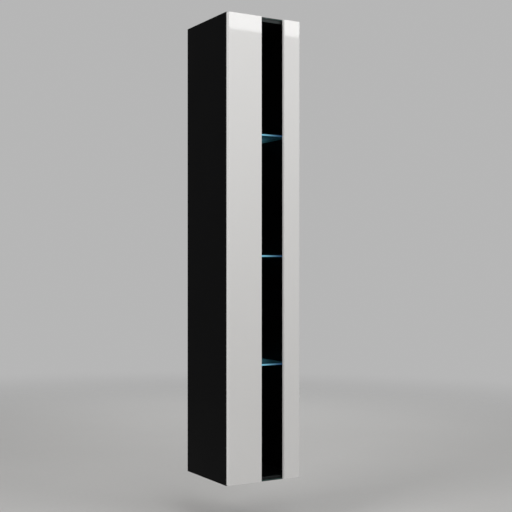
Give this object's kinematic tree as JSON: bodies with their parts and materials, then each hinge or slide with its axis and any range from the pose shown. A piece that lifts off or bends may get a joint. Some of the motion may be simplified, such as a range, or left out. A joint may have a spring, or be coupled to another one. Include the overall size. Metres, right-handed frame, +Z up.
{
  "type": "hanging wall cabinet",
  "caption": "Tall narrow wall-hung display cabinet: black carcass, handleless hinged door of white gloss strips with a clear glass strip between, lit glass shelves inside.",
  "frame": {"origin": "on the wall plane, at the cabinet's underside and the middle of its width", "axes": "+X to the right as one faces the cabinet, +Y into the wall, +Z up"},
  "size_m": [0.325, 0.32, 1.8],
  "materials": {
    "black_laminate": "chipboard faced with matt black melamine, with a fine pearl texture and raw rear edges",
    "black_edge_band": "matt black edge band",
    "black_hardboard": "hardboard with a matt black front and a bare dark-brown rear",
    "white_gloss": "fibreboard with high-gloss white lacquer in front and a satin white rear",
    "door_glass": "clear float glass",
    "shelf_glass": "clear glass, polished edges lit from the rear clips",
    "beech": "fluted beech",
    "zinc_casting": "die-cast zinc",
    "plated_steel": "bright zinc plate",
    "nickel_plate": "nickel plate",
    "black_plastic": "black moulded plastic",
    "white_plastic": "white moulded plastic",
    "clear_silicone": "clear silicone",
    "grey_rubber": "soft dark rubber",
    "black_tape": "black foam bonding tape",
    "light_lens": "frosted lens over blue-white light emitters"
  },
  "bodies": {
    "carcass": {"left_side_panel": "black_laminate", "right_side_panel": "black_laminate", "top_panel": "black_laminate", "bottom_panel": "black_laminate", "back_panel": "black_hardboard", "side_edge_bands": "black_edge_band", "cross_edge_bands": "black_edge_band", "corner_dowels": "beech", "cam_locks": "zinc_casting", "cam_bolts": "plated_steel", "cam_caps": "black_plastic", "hanger_housings": "white_plastic", "hanger_hooks": "plated_steel", "hanger_adjusting_screws": "plated_steel", "hanger_covers": "black_plastic", "hanger_side_screws": "plated_steel", "wall_plates": "plated_steel", "cable_grommets": "black_plastic", "lower_glass_shelf": "shelf_glass", "middle_glass_shelf": "shelf_glass", "upper_glass_shelf": "shelf_glass", "shelf_pins": "nickel_plate", "shelf_pads": "clear_silicone", "shelf_light_clips": "black_plastic", "shelf_light_lenses": "light_lens", "shelf_light_screws": "plated_steel", "hinge_arms": "nickel_plate", "hinge_mounting_plates": "nickel_plate", "hinge_plate_screws": "plated_steel", "hinge_fixing_screws": "plated_steel", "hinge_side_adjusters": "plated_steel", "hinge_arm_covers": "nickel_plate", "push_latch_housings": "black_plastic", "push_latch_screws": "plated_steel", "door_bumpers": "clear_silicone"},
    "door": {"door_wide_strip": "white_gloss", "door_narrow_strip": "white_gloss", "door_glass_pane": "door_glass", "glass_bonding_tapes": "black_tape", "glass_clips": "nickel_plate", "glass_clip_screws": "plated_steel", "hinge_cups": "nickel_plate", "hinge_pivot_pins": "plated_steel", "hinge_cup_screws": "plated_steel", "push_latch_strikes": "plated_steel", "strike_screws": "plated_steel"},
    "latch_plungers": {"push_latch_plungers": "white_plastic", "push_latch_tips": "grey_rubber"}
  },
  "joints": [
    {"name": "door_swing", "type": "hinge", "parent": "carcass", "child": "door", "pos_m": [-0.1551, -0.311, 0.9], "axis": [0, 0, -1], "range_deg": [0, 95]},
    {"name": "latch_slide", "type": "slide", "parent": "carcass", "child": "latch_plungers", "axis": [0, -1, 0], "range_m": [0, 0.014]}
  ],
  "couplings": [
    {"joint": "latch_slide", "follows": "door_swing", "m_per_rad": 0.00844}
  ]
}
